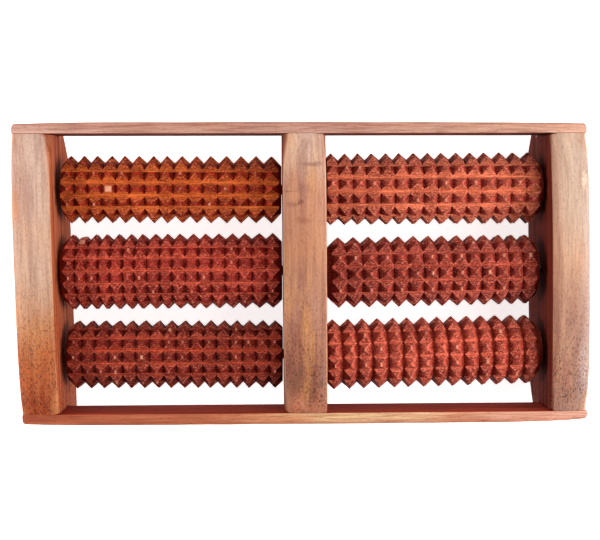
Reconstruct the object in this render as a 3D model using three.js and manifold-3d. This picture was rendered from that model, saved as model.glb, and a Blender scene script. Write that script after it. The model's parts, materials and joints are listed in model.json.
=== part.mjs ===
// Wooden foot massage roller. Three upright boards carry two columns of studded rollers in three rows,
// and a thin rail, let into the ends of the boards and nailed, closes the frame at the back and at the front.
// Millimetres. +X runs to the right along the rollers, +Y to the back rail, +Z up.
// The origin is at the middle of the frame, on the surface it stands on.

import * as THREE from 'three';
import { mergeVertices } from 'three/addons/utils/BufferGeometryUtils.js';
import Module from 'manifold-3d';

const wasm = await Module();
wasm.setup();

// Frame
const BOARD_SPAN = 280; // from the outer face of one end board to that of the other
const FRAME_DEPTH = 149; // over both rails
const BOARD_HEIGHT = 51;
const ARCH_DROP = 6.5; // how far the arched board tops fall from the middle to the rails' outer faces
const ARCH_POWER = 3;
const ARCH_STEPS = 12;
const END_BOARD_THICKNESS = 18.6;
const CENTRE_BOARD_THICKNESS = 21.3;
const CENTRE_BOARD_OFFSET = 0.6;
const END_BOARD_LEAN = 1.0; // degrees out of square, seen from above, as built by hand
const CENTRE_BOARD_LEAN = 0.3;
const RAIL_THICKNESS = 5.6;
const RAIL_TOP = 45;
const RAIL_BOTTOM = 21;
const JOINT_GAP = 0.3; // between glued or nailed faces

// Rollers, and the rod through each of them
const AXLE_HEIGHT = 26;
const ROD_RADIUS = 2.5;
const ROD_CHAMFER = 0.6;
const ROD_IN_BOARD = 8; // how far a rod reaches into the board at each end
const ROD_END_GAP = 0.5;
const BORE_RADIUS = 3;
const ROUND_SIDES = 12;
const RIDGE_RISE = 0.25; // the lengthwise ridges stand this far above the ring ridges that cut across them
const RING_WANDER = 0.3; // how far the turned rings stray from an even spacing
const RING_WANDER_RATE = 2.3; // radians from one ring to the next

// Each roller was turned, grooved and hung by hand, so no two have the same rings, rows, size or line.
// x0 and x1 are its end faces and y its middle. first and last are the crests of its outer rings, and growth
// is how much the ring spacing widens along it. rows is the number of studs around it, turn the angle of one
// row from straight up towards the front, and skew the degrees its rod is out of line, seen from above.
// radius is at the crests of the rings, depth that of the rings, and groove how much deeper than the rings
// the lengthwise grooves are cut.
const ROLLERS = [
  { name: 'left_back', x0: -119.4, x1: -10.7, y: 41.7, first: -115.8, last: -15.6, rings: 15, rows: 13,
    radius: 17.6, depth: 4.0, groove: 0.9, growth: 0.08, turn: -1.5, skew: -0.2, color: 0xa8401c },
  { name: 'left_middle', x0: -120.1, x1: -10.5, y: 0.5, first: -115.4, last: -15.1, rings: 17, rows: 16,
    radius: 19.65, depth: 3.35, groove: 0.3, growth: 0.11, turn: 5.5, skew: 0.2, color: 0x8a2a1c },
  { name: 'left_front', x0: -118.2, x1: -10.3, y: -41.75, first: -113.9, last: -14.2, rings: 16, rows: 14,
    radius: 17.9, depth: 3.5, groove: 0.6, growth: -0.03, turn: -3, skew: -0.25, color: 0x8f3020 },
  { name: 'right_back', x0: 12.0, x1: 119.4, y: 41.75, first: 14.2, last: 114.1, rings: 15, rows: 13,
    radius: 18.9, depth: 3.9, groove: 0.8, growth: 0.04, turn: -9.7, skew: 0.2, color: 0x96361f },
  { name: 'right_middle', x0: 12.3, x1: 118.1, y: 0.2, first: 18.0, last: 112.9, rings: 14, rows: 13,
    radius: 18.7, depth: 3.9, groove: 0.4, growth: -0.08, turn: -0.3, skew: 0.8, color: 0x8a2c1e },
  { name: 'right_front', x0: 12.3, x1: 120.6, y: -41.35, first: 15.4, last: 113.8, rings: 14, rows: 14,
    radius: 18.5, depth: 4.1, groove: -0.7, growth: -0.02, turn: -15, skew: 1.2, color: 0x93301f },
];

// Nails through the rails into the board ends
const NAIL_RADIUS = 0.9;
const NAIL_HEAD_RADIUS = 1.6;
const NAIL_HEAD_THICKNESS = 0.8;
const NAIL_LENGTH = 23;
const NAIL_POINT = 2;
const NAIL_SINK = 0.5; // the heads are punched this far below the rail's face
const NAIL_SIDES = 6;
const NAIL_HEIGHTS = { lower: 28, upper: 39 };
const NAIL_STAGGER = 3.2; // sideways from the middle of the board, each way

const WOOD_FINISH = { roughness: 0.55, metalness: 0 };
const STEEL_FINISH = { roughness: 0.35, metalness: 1 };
const woodOf = (name, color) => new THREE.MeshStandardMaterial({ name, color, ...WOOD_FINISH });
const steelOf = (name, color) => new THREE.MeshStandardMaterial({ name, color, ...STEEL_FINISH });
const endBoardWood = woodOf('end_board_wood', 0xc2906f);
const centreBoardWood = woodOf('centre_board_wood', 0xb98a63);
const railWood = woodOf('rail_wood', 0xb5805c);
const rodSteel = steelOf('rod_steel', 0xb4b6b8);
const nailSteel = steelOf('nail_steel', 0x8d8f92);

const X_AXIS = new THREE.Vector3(1, 0, 0);
const Y_AXIS = new THREE.Vector3(0, 1, 0);
const Z_AXIS = new THREE.Vector3(0, 0, 1);

// Manifold solids from closed three.js geometry, and back.
function solidOf(geometry) {
  const bare = geometry.clone();
  bare.deleteAttribute('normal');
  bare.deleteAttribute('uv');
  const merged = mergeVertices(bare, 1e-4);
  return new wasm.Manifold(new wasm.Mesh({
    numProp: 3,
    vertProperties: new Float32Array(merged.attributes.position.array),
    triVerts: new Uint32Array(merged.index.array),
  }));
}

function geometryOf(solid) {
  const mesh = solid.getMesh();
  const geometry = new THREE.BufferGeometry();
  geometry.setAttribute('position', new THREE.BufferAttribute(mesh.vertProperties, mesh.numProp));
  geometry.setIndex(new THREE.BufferAttribute(mesh.triVerts, 1));
  geometry.computeVertexNormals();
  return geometry;
}

function cut(geometry, tools) {
  return geometryOf(tools.reduce((solid, tool) => solid.subtract(solidOf(tool)), solidOf(geometry)));
}

// An outline drawn in (Y, Z) and extruded along X from x0 to x1.
function extrudeAlongX(outline, x0, x1) {
  return new THREE.ExtrudeGeometry(outline, { depth: x1 - x0, bevelEnabled: false })
    .applyMatrix4(new THREE.Matrix4().makeBasis(Y_AXIS, Z_AXIS, X_AXIS).setPosition(x0, 0, 0));
}

function rodAlongX(radius, x0, x1) {
  return new THREE.CylinderGeometry(radius, radius, x1 - x0, ROUND_SIDES)
    .rotateZ(-Math.PI / 2)
    .translate((x0 + x1) / 2, 0, 0);
}

// Slants a piece in plan, so that its sides lean out of square while its ends stay parallel to the rails.
function leanInPlan(geometry, degrees) {
  const slope = -Math.tan(THREE.MathUtils.degToRad(degrees));
  return geometry.applyMatrix4(new THREE.Matrix4().makeShear(0, 0, slope, 0, 0, 0));
}

function leanShift(degrees, y) {
  return -Math.tan(THREE.MathUtils.degToRad(degrees)) * y;
}

function archHeight(y) {
  return BOARD_HEIGHT - ARCH_DROP * Math.abs(2 * y / FRAME_DEPTH) ** ARCH_POWER;
}

const BOARD_END = FRAME_DEPTH / 2;
const SHOULDER = BOARD_END - RAIL_THICKNESS - JOINT_GAP; // where the notch for a rail begins
const LEDGE = RAIL_BOTTOM - JOINT_GAP; // the bottom of that notch

// The side view of a board: flat foot, ends sawn off slanting underneath, notches for the rails and an
// arched top.
function boardOutline({ frontCut, backCut }) {
  const outline = new THREE.Shape();
  outline.moveTo(-BOARD_END + frontCut.length, 0);
  outline.lineTo(BOARD_END - backCut.length, 0);
  outline.lineTo(BOARD_END, backCut.height);
  outline.lineTo(BOARD_END, LEDGE);
  outline.lineTo(SHOULDER, LEDGE);
  for (let i = ARCH_STEPS; i >= 0; i -= 1) {
    const y = SHOULDER * (2 * i / ARCH_STEPS - 1);
    outline.lineTo(y, archHeight(y));
  }
  outline.lineTo(-SHOULDER, LEDGE);
  outline.lineTo(-BOARD_END, LEDGE);
  outline.lineTo(-BOARD_END, frontCut.height);
  return outline;
}

// The three boards, by the X of their faces at the middle of the frame. The cuts are what is sawn off under
// their ends.
const INNER_FACE = BOARD_SPAN / 2 - END_BOARD_THICKNESS;
const CENTRE_LEFT = CENTRE_BOARD_OFFSET - CENTRE_BOARD_THICKNESS / 2;
const CENTRE_RIGHT = CENTRE_BOARD_OFFSET + CENTRE_BOARD_THICKNESS / 2;
const BOARDS = [
  { name: 'left_end_board', place: 'left', x0: -BOARD_SPAN / 2, x1: -INNER_FACE, lean: END_BOARD_LEAN,
    frontCut: { length: 1.5, height: 1.5 }, backCut: { length: 16.6, height: 15 }, wood: endBoardWood },
  { name: 'centre_board', place: 'centre', x0: CENTRE_LEFT, x1: CENTRE_RIGHT, lean: CENTRE_BOARD_LEAN,
    frontCut: { length: 16, height: 10 }, backCut: { length: 16, height: 10 }, wood: centreBoardWood },
  { name: 'right_end_board', place: 'right', x0: INNER_FACE, x1: BOARD_SPAN / 2, lean: END_BOARD_LEAN,
    frontCut: { length: 16.5, height: 9.5 }, backCut: { length: 14.5, height: 10.5 }, wood: endBoardWood },
];

// The frame in which a roller is made: its rod along X, with the origin at the middle of the roller.
function rollerPlace(roller) {
  const place = new THREE.Group();
  place.position.set((roller.x0 + roller.x1) / 2, roller.y, AXLE_HEIGHT);
  place.rotation.z = THREE.MathUtils.degToRad(roller.skew);
  place.updateMatrix();
  return place;
}

// The ends of a roller's rod in that frame: inside the boards on both sides.
function rodEnds(roller) {
  const middle = (roller.x0 + roller.x1) / 2;
  const [left, right] = middle < 0 ? [-INNER_FACE, CENTRE_LEFT] : [CENTRE_RIGHT, INNER_FACE];
  return [left - ROD_IN_BOARD - middle, right + ROD_IN_BOARD - middle];
}

// Where the nails go: two into each end of each board, one low and one high, staggered sideways.
const NAILS = BOARDS.flatMap((board) => [1, -1].flatMap((end) => ['lower', 'upper'].map((height) => {
  const railMiddle = end * (FRAME_DEPTH - RAIL_THICKNESS) / 2;
  const side = height === 'lower' ? -1 : 1;
  return {
    name: `nail_${end > 0 ? 'back' : 'front'}_${board.place}_${height}`,
    board: board.place,
    x: (board.x0 + board.x1) / 2 + leanShift(board.lean, railMiddle) + side * NAIL_STAGGER,
    z: NAIL_HEIGHTS[height],
    end,
  };
})));

// A round piece turned about its own length, its profile given as [radius, distance] from the rail's
// outer face.
function turnedNailward(profile, nail) {
  const points = profile.map(([radius, inward]) => new THREE.Vector2(radius, -inward));
  return new THREE.LatheGeometry(points, NAIL_SIDES)
    .rotateX(nail.end > 0 ? 0 : Math.PI)
    .translate(nail.x, nail.end * FRAME_DEPTH / 2, nail.z);
}

function nailGeometry(nail) {
  const neck = NAIL_SINK + NAIL_HEAD_THICKNESS;
  const tip = NAIL_SINK + NAIL_LENGTH;
  return turnedNailward([
    [0, tip],
    [NAIL_RADIUS, tip - NAIL_POINT],
    [NAIL_RADIUS, neck],
    [NAIL_HEAD_RADIUS, neck],
    [NAIL_HEAD_RADIUS, NAIL_SINK],
    [0, NAIL_SINK],
  ], nail);
}

// The hole a nail makes: a clearance round its head and shank, from outside the rail to past its point.
function nailHole(nail) {
  const shoulder = NAIL_SINK + NAIL_HEAD_THICKNESS + JOINT_GAP;
  const bottom = NAIL_SINK + NAIL_LENGTH + JOINT_GAP;
  const outside = -1;
  return turnedNailward([
    [0, bottom],
    [NAIL_RADIUS + JOINT_GAP, bottom],
    [NAIL_RADIUS + JOINT_GAP, shoulder],
    [NAIL_HEAD_RADIUS + JOINT_GAP, shoulder],
    [NAIL_HEAD_RADIUS + JOINT_GAP, outside],
    [0, outside],
  ], nail);
}

function boardMesh(board) {
  const blank = leanInPlan(extrudeAlongX(boardOutline(board), board.x0, board.x1), board.lean);
  const bores = ROLLERS.map((roller) => {
    const [start, end] = rodEnds(roller);
    const hole = rodAlongX(BORE_RADIUS, start - ROD_END_GAP, end + ROD_END_GAP);
    return hole.applyMatrix4(rollerPlace(roller).matrix);
  });
  const nailHoles = NAILS.filter((nail) => nail.board === board.place).map(nailHole);
  return meshOf(board.name, cut(blank, [...bores, ...nailHoles]), board.wood);
}

function railMesh(name, end) {
  const inner = FRAME_DEPTH / 2 - RAIL_THICKNESS;
  const outer = FRAME_DEPTH / 2;
  const blank = new THREE.BoxGeometry(BOARD_SPAN, outer - inner, RAIL_TOP - RAIL_BOTTOM)
    .translate(0, end * (inner + outer) / 2, (RAIL_TOP + RAIL_BOTTOM) / 2);
  const holes = NAILS.filter((nail) => nail.end === end).map(nailHole);
  return meshOf(name, cut(leanInPlan(blank, END_BOARD_LEAN), holes), railWood);
}

function rodMesh(roller) {
  const [start, end] = rodEnds(roller);
  const profile = [
    new THREE.Vector2(0, start),
    new THREE.Vector2(ROD_RADIUS - ROD_CHAMFER, start),
    new THREE.Vector2(ROD_RADIUS, start + ROD_CHAMFER),
    new THREE.Vector2(ROD_RADIUS, end - ROD_CHAMFER),
    new THREE.Vector2(ROD_RADIUS - ROD_CHAMFER, end),
    new THREE.Vector2(0, end),
  ];
  const geometry = new THREE.LatheGeometry(profile, ROUND_SIDES).rotateZ(-Math.PI / 2);
  return meshOf(`axle_rod_${roller.name}`, geometry, rodSteel);
}

// The crests of a roller's rings: a spacing that widens evenly along it, with a small stray each way.
function ringCrests(roller) {
  const { first, last, rings, growth } = roller;
  return Array.from({ length: rings }, (_, i) => {
    const t = i / (rings - 1);
    const even = first + (last - first) * (t + growth * t * (t - 1));
    const inside = i > 0 && i < rings - 1;
    return even + (inside ? RING_WANDER * Math.sin(RING_WANDER_RATE * i + rings + roller.turn) : 0);
  });
}

// The turned blank: V-shaped rings all along, lengths on the Y axis until it is laid along X.
function ringBody(roller) {
  const crests = ringCrests(roller);
  const slope = roller.depth / ((roller.last - roller.first) / (roller.rings - 1) / 2);
  const endRadius = (crest, end) => roller.radius - slope * Math.abs(crest - end);
  const profile = [
    new THREE.Vector2(0, roller.x0),
    new THREE.Vector2(endRadius(roller.first, roller.x0), roller.x0),
  ];
  crests.forEach((crest, i) => {
    profile.push(new THREE.Vector2(roller.radius, crest));
    if (i < crests.length - 1) {
      profile.push(new THREE.Vector2(roller.radius - roller.depth, (crest + crests[i + 1]) / 2));
    }
  });
  profile.push(new THREE.Vector2(endRadius(roller.last, roller.x1), roller.x1));
  profile.push(new THREE.Vector2(0, roller.x1));
  // One flat of the turned body lies under each row of studs, so every stud gets four flat faces.
  const turn = THREE.MathUtils.degToRad(roller.turn);
  return new THREE.LatheGeometry(profile, roller.rows, turn - Math.PI / roller.rows).rotateZ(-Math.PI / 2);
}

// The lengthwise grooves: a star whose points are the rows of studs.
function ridgeStar(roller) {
  const outline = new THREE.Shape();
  const turn = THREE.MathUtils.degToRad(roller.turn);
  for (let i = 0; i < 2 * roller.rows; i += 1) {
    const angle = turn + i * Math.PI / roller.rows;
    const radius = i % 2 === 0 ? roller.radius + RIDGE_RISE : roller.radius - roller.depth - roller.groove;
    const place = [-radius * Math.sin(angle), radius * Math.cos(angle)];
    if (i === 0) outline.moveTo(...place);
    else outline.lineTo(...place);
  }
  return extrudeAlongX(outline, roller.x0 - 1, roller.x1 + 1);
}

function rollerMesh(roller) {
  const middle = (roller.x0 + roller.x1) / 2;
  const bore = rodAlongX(BORE_RADIUS, roller.x0 - 1, roller.x1 + 1);
  const solid = solidOf(ringBody(roller)).intersect(solidOf(ridgeStar(roller))).subtract(solidOf(bore));
  const wood = woodOf(`roller_wood_${roller.name}`, roller.color);
  return meshOf(`roller_${roller.name}`, geometryOf(solid).translate(-middle, 0, 0), wood);
}

function meshOf(name, geometry, material) {
  const mesh = new THREE.Mesh(geometry, material);
  mesh.name = name;
  return mesh;
}

const massager = new THREE.Group();
BOARDS.forEach((board) => massager.add(boardMesh(board)));
massager.add(railMesh('back_rail', 1));
massager.add(railMesh('front_rail', -1));
ROLLERS.forEach((roller) => {
  const place = rollerPlace(roller);
  place.add(rodMesh(roller));
  place.add(rollerMesh(roller));
  massager.add(place);
});
NAILS.forEach((nail) => massager.add(meshOf(nail.name, nailGeometry(nail), nailSteel)));

export default massager;
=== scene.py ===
import json
import math
import random

import bmesh
import bpy
import numpy as np
from mathutils import Matrix, Vector, noise


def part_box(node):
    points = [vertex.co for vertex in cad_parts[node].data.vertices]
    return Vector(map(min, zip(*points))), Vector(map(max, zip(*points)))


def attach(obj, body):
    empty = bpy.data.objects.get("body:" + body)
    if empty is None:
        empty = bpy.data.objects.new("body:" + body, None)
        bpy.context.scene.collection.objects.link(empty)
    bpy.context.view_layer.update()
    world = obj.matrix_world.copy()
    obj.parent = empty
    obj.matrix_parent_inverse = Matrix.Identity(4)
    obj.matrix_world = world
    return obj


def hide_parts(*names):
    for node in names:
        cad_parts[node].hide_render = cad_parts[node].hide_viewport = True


# The looks of a wooden foot massage roller: hand-sanded boards and rails, six turned and grooved
# rollers, and the steel rods and nails that hold them. Metres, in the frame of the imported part.

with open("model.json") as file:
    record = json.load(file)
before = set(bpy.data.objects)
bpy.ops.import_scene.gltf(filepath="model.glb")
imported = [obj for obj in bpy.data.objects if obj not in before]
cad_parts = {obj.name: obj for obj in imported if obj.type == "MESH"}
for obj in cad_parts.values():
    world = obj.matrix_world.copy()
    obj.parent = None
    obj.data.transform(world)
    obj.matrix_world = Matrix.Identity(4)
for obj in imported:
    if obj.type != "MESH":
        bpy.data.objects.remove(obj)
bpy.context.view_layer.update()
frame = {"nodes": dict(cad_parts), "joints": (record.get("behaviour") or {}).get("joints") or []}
MM = 0.001
TOUCH = 0.00005  # vertices closer than this to a limit are on it
EDGE_ROUND = 0.7 * MM  # sanded long edges

FRAME_BODY = "frame"
BOARDS = ("left_end_board", "centre_board", "right_end_board")
RAILS = ("back_rail", "front_rail")
ROLLERS = ("left_back", "left_middle", "left_front", "right_back", "right_middle", "right_front")

BORE_RADIUS = 3 * MM
ROD_RADIUS = 2.5 * MM
ROD_CHAMFER = 0.6 * MM
ROD_SIDES = 32
NAIL_RADIUS = 0.9 * MM
NAIL_SIDES = 20
NAIL_HEAD_THICKNESS = 0.8 * MM
NAIL_HEAD_FACE = ((0.0, 0.7), (0.12 * MM, 0.95), (0.3 * MM, 1.0))  # the dome: depth, share of the radius
NAIL_HEAD_BACK = ((-0.1 * MM, 1.0), (0.0, 0.9))  # its back edge, from the neck
NAIL_NECK = 0.05 * MM
NAIL_POINT = 2 * MM
NAIL_TIP_RADIUS = 0.05 * MM
HOLE_CLEARANCE = 0.3 * MM
PAST_FACE = 2 * MM  # how far the skins that cut nail holes reach out of the wood


# ---------------------------------------------------------------- meshes

def vertices_of(node):
    """A CAD node's vertices at rest, as rows of x, y, z."""
    return np.array([v.co for v in frame["nodes"][node].data.vertices], float)


def smooth_except_sharp(mesh, angle):
    """Smooth shading that breaks at every edge sharper than angle, in degrees."""
    work = bmesh.new()
    work.from_mesh(mesh)
    for face in work.faces:
        face.smooth = True
    limit = math.radians(angle)
    for edge in work.edges:
        edge.smooth = edge.calc_face_angle(math.pi) < limit
    work.to_mesh(mesh)
    work.free()


def make_object(name, vertices, faces, sharp_angle=30):
    mesh = bpy.data.meshes.new(name)
    mesh.from_pydata([tuple(v) for v in vertices], [], faces)
    mesh.validate()
    smooth_except_sharp(mesh, sharp_angle)
    piece = bpy.data.objects.new(name, mesh)
    bpy.context.scene.collection.objects.link(piece)
    return piece


def mark_sanding(mesh):
    """Notes at each vertex of a sawn piece how far it faces up, and how far it lies on a rounded edge."""
    sanding = mesh.attributes.new("sanding", "FLOAT_COLOR", "POINT")
    values = []
    for vertex in mesh.vertices:
        up = vertex.normal.z
        edge = 2 * abs(up) * math.hypot(vertex.normal.x, vertex.normal.y)
        values += (max(up, 0.0), edge, 0.0, 1.0)
    sanding.data.foreach_set("color", values)


def install(piece, node, body, material):
    """Puts a finished piece in place of its CAD node."""
    piece.data.materials.clear()
    piece.data.materials.append(material)
    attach(piece, body)
    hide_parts(node)


def loft(sections):
    """A closed skin over loops of points, one after another, with a flat face over each end."""
    count = len(sections[0])
    vertices = [point for section in sections for point in section]
    faces = [tuple(reversed(range(count)))]
    for s in range(len(sections) - 1):
        for i in range(count):
            j = (i + 1) % count
            faces.append((s * count + i, s * count + j, (s + 1) * count + j, (s + 1) * count + i))
    last = (len(sections) - 1) * count
    faces.append(tuple(range(last, last + count)))
    return vertices, faces


def prism(outline, bottom, top):
    """An upright prism over an outline of (x, y) points that runs clockwise seen from above."""
    return loft([[Vector((x, y, z)) for x, y in outline] for z in (top, bottom)])


def turned(profile, sides, place):
    """A solid of revolution about the local X axis, its profile given as (distance along, radius)."""
    sections = [
        [
            place @ Vector((along, radius * math.cos(2 * math.pi * i / sides),
                            radius * math.sin(2 * math.pi * i / sides)))
            for i in range(sides)
        ]
        for along, radius in profile
    ]
    return loft(sections)


def cut_away(piece, cutters, sharp_angle=30):
    """Cuts the given closed skins out of a piece."""
    vertices, faces = [], []
    for cutter_vertices, cutter_faces in cutters:
        start = len(vertices)
        vertices += cutter_vertices
        faces += [tuple(start + i for i in face) for face in cutter_faces]
    cutter = make_object(piece.name + "_cutter", vertices, faces)
    modifier = piece.modifiers.new("holes", "BOOLEAN")
    modifier.operation = "DIFFERENCE"
    modifier.solver = "EXACT"
    modifier.object = cutter
    bpy.context.view_layer.update()
    cut = bpy.data.meshes.new_from_object(piece.evaluated_get(bpy.context.evaluated_depsgraph_get()))
    piece.modifiers.clear()
    piece.data = cut
    bpy.data.objects.remove(cutter)
    smooth_except_sharp(piece.data, sharp_angle)


def wander(point, size, amount, seed=0.0):
    """A slow irregularity along a surface: a signed length that changes over the given size."""
    return amount * noise.noise(Vector(point) / size + Vector((seed, 2.7 * seed, -seed)))


def spread(low, high, count):
    """Stations from low to high, closer together towards both ends."""
    return [low + (high - low) * (1 - math.cos(math.pi * i / (count - 1))) / 2 for i in range(count)]


def rounded_section(low, high, corners, corner_steps=3, side_steps=5):
    """A rounded rectangle as (across, up) points, counter-clockwise from the lower left corner.
    corners are the (across, up) radii at the lower left, lower right, upper right and upper left."""
    centres = []
    for i, (rx, rz) in enumerate(corners):
        right, upper = i in (1, 2), i in (2, 3)
        centres.append((high[0] - rx if right else low[0] + rx, high[1] - rz if upper else low[1] + rz))
    points = []
    for i, ((cx, cz), (rx, rz)) in enumerate(zip(centres, corners)):
        start = math.pi * (1 + i / 2)
        arc = [start + math.pi / 2 * step / corner_steps for step in range(corner_steps + 1)]
        curve = [(cx + rx * math.cos(a), cz + rz * math.sin(a)) for a in arc]
        straight = 1 - min(EDGE_ROUND / rx, 1.0)  # a corner that is taken off further is a slant, not a round
        for step, (x, z) in enumerate(curve):
            slant_x = curve[0][0] + (curve[-1][0] - curve[0][0]) * step / corner_steps
            slant_z = curve[0][1] + (curve[-1][1] - curve[0][1]) * step / corner_steps
            points.append((x + (slant_x - x) * straight, z + (slant_z - z) * straight))
        nx, nz = centres[(i + 1) % 4]
        nrx, nrz = corners[(i + 1) % 4]
        after = math.pi * (1 + (i + 1) / 2)
        goal = (nx + nrx * math.cos(after), nz + nrz * math.sin(after))
        here = points[-1]
        for step in range(1, side_steps):
            share = step / side_steps
            points.append((here[0] + (goal[0] - here[0]) * share, here[1] + (goal[1] - here[1]) * share))
    return points


# ---------------------------------------------------------------- boards

HAND_SANDING = 0.12 * MM
HAND_SANDING_SIZE = 18 * MM
END_SANDING_REACH = 11 * MM
FLUSH_REACH = 5 * MM  # the tops are sanded down to the rails over about this length
FADE_POWER = 1.5  # how suddenly these end
BOARD_STATIONS = 57
ARCH_POWER = 3  # the boards' tops fall off towards their ends with this power of the distance
JOINT_CLOSED = 0.06 * MM  # where a board's shoulder is tight against the rail
JOINT_WEDGE = 4.5 * MM  # how far in from a side the joint may gape

# How far each top edge is sanded in beside the rails, as (left back, left front, right back, right front).
END_SANDING = {
    "left_end_board": (0.2 * MM, 0.2 * MM, 3.0 * MM, 0.9 * MM),
    "centre_board": (2.8 * MM, 1.5 * MM, 1.0 * MM, 0.3 * MM),
    "right_end_board": (0.6 * MM, 1.2 * MM, 0.6 * MM, 1.0 * MM),
}
SANDING_STEEPNESS = 2.6  # how steeply those edges slant

# How far each joint gapes at the side of the board, in the same order.
JOINT_GAPES = {
    "left_end_board": (0.0, 0.0, 0.3 * MM, 0.7 * MM),
    "centre_board": (0.0, 0.7 * MM, 0.4 * MM, 0.1 * MM),
    "right_end_board": (0.8 * MM, 0.6 * MM, 0.1 * MM, 0.2 * MM),
}


def board_lines(node):
    """The lines of a board, read from its CAD solid: ends, shoulders, sides, arch, foot and sawn corners."""
    co = vertices_of(node)
    front = co[co[:, 1] < co[:, 1].min() + TOUCH]
    back = co[co[:, 1] > co[:, 1].max() - TOUCH]
    foot = co[co[:, 2] < TOUCH]
    ledge = front[:, 2].max()
    above = co[co[:, 2] > ledge + TOUCH]
    shoulder = above[:, 1].max()
    return {
        "ends": (co[:, 1].min(), co[:, 1].max()),
        "shoulder": shoulder,
        "ledge": ledge,
        "left": (front[:, 0].min(), back[:, 0].min()),
        "right": (front[:, 0].max(), back[:, 0].max()),
        "tops": (co[:, 2].max(), co[co[:, 1] > shoulder - TOUCH][:, 2].max()),
        "foot": (foot[:, 1].min(), foot[:, 1].max()),
        "cuts": (front[:, 2].min(), back[:, 2].min()),
    }


def board_sides(lines, y):
    """The X of a board's left and right faces at a distance along it."""
    front, back = lines["ends"]
    along = (y - front) / (back - front)
    return [lines[side][0] + (lines[side][1] - lines[side][0]) * along for side in ("left", "right")]


def fade(distance, reach):
    """A share that falls from 1 at no distance to almost 0 beyond the reach."""
    return math.exp(-(max(distance, 0.0) / reach) ** FADE_POWER)


def board_section(lines, sanding, y):
    """One section of a board as a loop of points; sanding is how far its four top corners are sanded in."""
    front, back = lines["ends"]
    left, right = board_sides(lines, y)
    shoulder = lines["shoulder"]
    middle_top, shoulder_top = lines["tops"]
    flush = (shoulder_top - RAIL_TOP) * fade(shoulder - abs(y), FLUSH_REACH)
    top = middle_top - (middle_top - shoulder_top) * abs(y / shoulder) ** ARCH_POWER - flush
    foot_front, foot_back = lines["foot"]
    if y < foot_front:
        bottom = lines["cuts"][0] * (foot_front - y) / (foot_front - front)
    elif y > foot_back:
        bottom = lines["cuts"][1] * (y - foot_back) / (back - foot_back)
    else:
        bottom = 0.0
    near_back = fade(shoulder - y, END_SANDING_REACH)
    near_front = fade(y + shoulder, END_SANDING_REACH)
    sand_left = sanding[0] * near_back + sanding[1] * near_front
    sand_right = sanding[2] * near_back + sanding[3] * near_front
    corners = [
        (EDGE_ROUND, EDGE_ROUND),
        (EDGE_ROUND, EDGE_ROUND),
        (EDGE_ROUND + sand_right, EDGE_ROUND + SANDING_STEEPNESS * sand_right),
        (EDGE_ROUND + sand_left, EDGE_ROUND + SANDING_STEEPNESS * sand_left),
    ]
    section = []
    for x, z in rounded_section((left, bottom), (right, top), corners):
        inward = -1 if x > (left + right) / 2 else 1
        hollow = abs(wander((x, y, z), HAND_SANDING_SIZE, HAND_SANDING))
        section.append(Vector((x + inward * hollow, y, z - hollow * min(z / top, 1.0))))
    return section


def rail_notches(node, lines):
    """The notches that the rails lie in, cut tight to the rail but gaping a little at the sides."""
    left_back, left_front, right_back, right_front = JOINT_GAPES[node]
    rail_face = lines["shoulder"] + HOLE_CLEARANCE - JOINT_CLOSED
    notches = []
    for end, gapes in ((1, (left_back, right_back)), (-1, (left_front, right_front))):
        left, right = board_sides(lines, end * rail_face)
        outline = [
            (left - MM, end * (rail_face - gapes[0])),
            (left, end * (rail_face - gapes[0])),
            (left + JOINT_WEDGE, end * rail_face),
            (right - JOINT_WEDGE, end * rail_face),
            (right, end * (rail_face - gapes[1])),
            (right + MM, end * (rail_face - gapes[1])),
            (right + MM, end * (lines["ends"][1] + MM)),
            (left - MM, end * (lines["ends"][1] + MM)),
        ]
        notches.append(prism(outline[::-1] if end > 0 else outline, lines["ledge"], lines["tops"][0]))
    return notches


def rod_holes():
    """A hole round each rod's end, from inside the roller's gap to past the rod's end in the board."""
    holes = []
    for name in ROLLERS:
        layout = LAYOUTS[name]
        start, end = rod_ends(name)
        profile = [(start - HOLE_CLEARANCE, BORE_RADIUS), (end + HOLE_CLEARANCE, BORE_RADIUS)]
        holes.append(turned(profile, ROD_SIDES, layout["place"]))
    return holes


def make_board(node, material):
    """A board: its sanded skin, with the holes for rods and nails and the notches for the rails cut out."""
    lines = board_lines(node)
    sections = [board_section(lines, END_SANDING[node], y) for y in spread(*lines["ends"], BOARD_STATIONS)]
    sections.reverse()
    vertices, faces = loft(sections)
    board = make_object(node + "_wood", vertices, faces)
    low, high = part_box(node)
    nails = [nail_skin(nail, HOLE_CLEARANCE) for nail in NAILS]
    cut_away(board, [skin for skin in rod_holes() + nails if overlaps(skin, low, high)])
    cut_away(board, rail_notches(node, lines))
    mark_sanding(board.data)
    install(board, node, FRAME_BODY, material)


def overlaps(skin, low, high):
    co = np.array([tuple(v) for v in skin[0]])
    return bool((co.max(0) > np.array(low)).all() and (co.min(0) < np.array(high)).all())


# ---------------------------------------------------------------- rails

RAIL_STATIONS = 81
RAIL_CORNER = 1.6 * MM  # the outer corners at the rails' ends, seen from above
RAIL_EDGE = 0.8 * MM  # the outer edges
RAIL_INNER_EDGE = 0.3 * MM
RAIL_SANDING = 0.15 * MM
RAIL_SANDING_SIZE = 25 * MM
RAIL_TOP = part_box("back_rail")[1].z

# How much thinner each rail is sanded at its left and right ends, and over what length.
RAIL_TAPER = {
    "back_rail": ((0.9 * MM, 22 * MM), (0.8 * MM, 75 * MM)),
    "front_rail": ((0.9 * MM, 22 * MM), (1.7 * MM, 16 * MM)),
}


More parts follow.
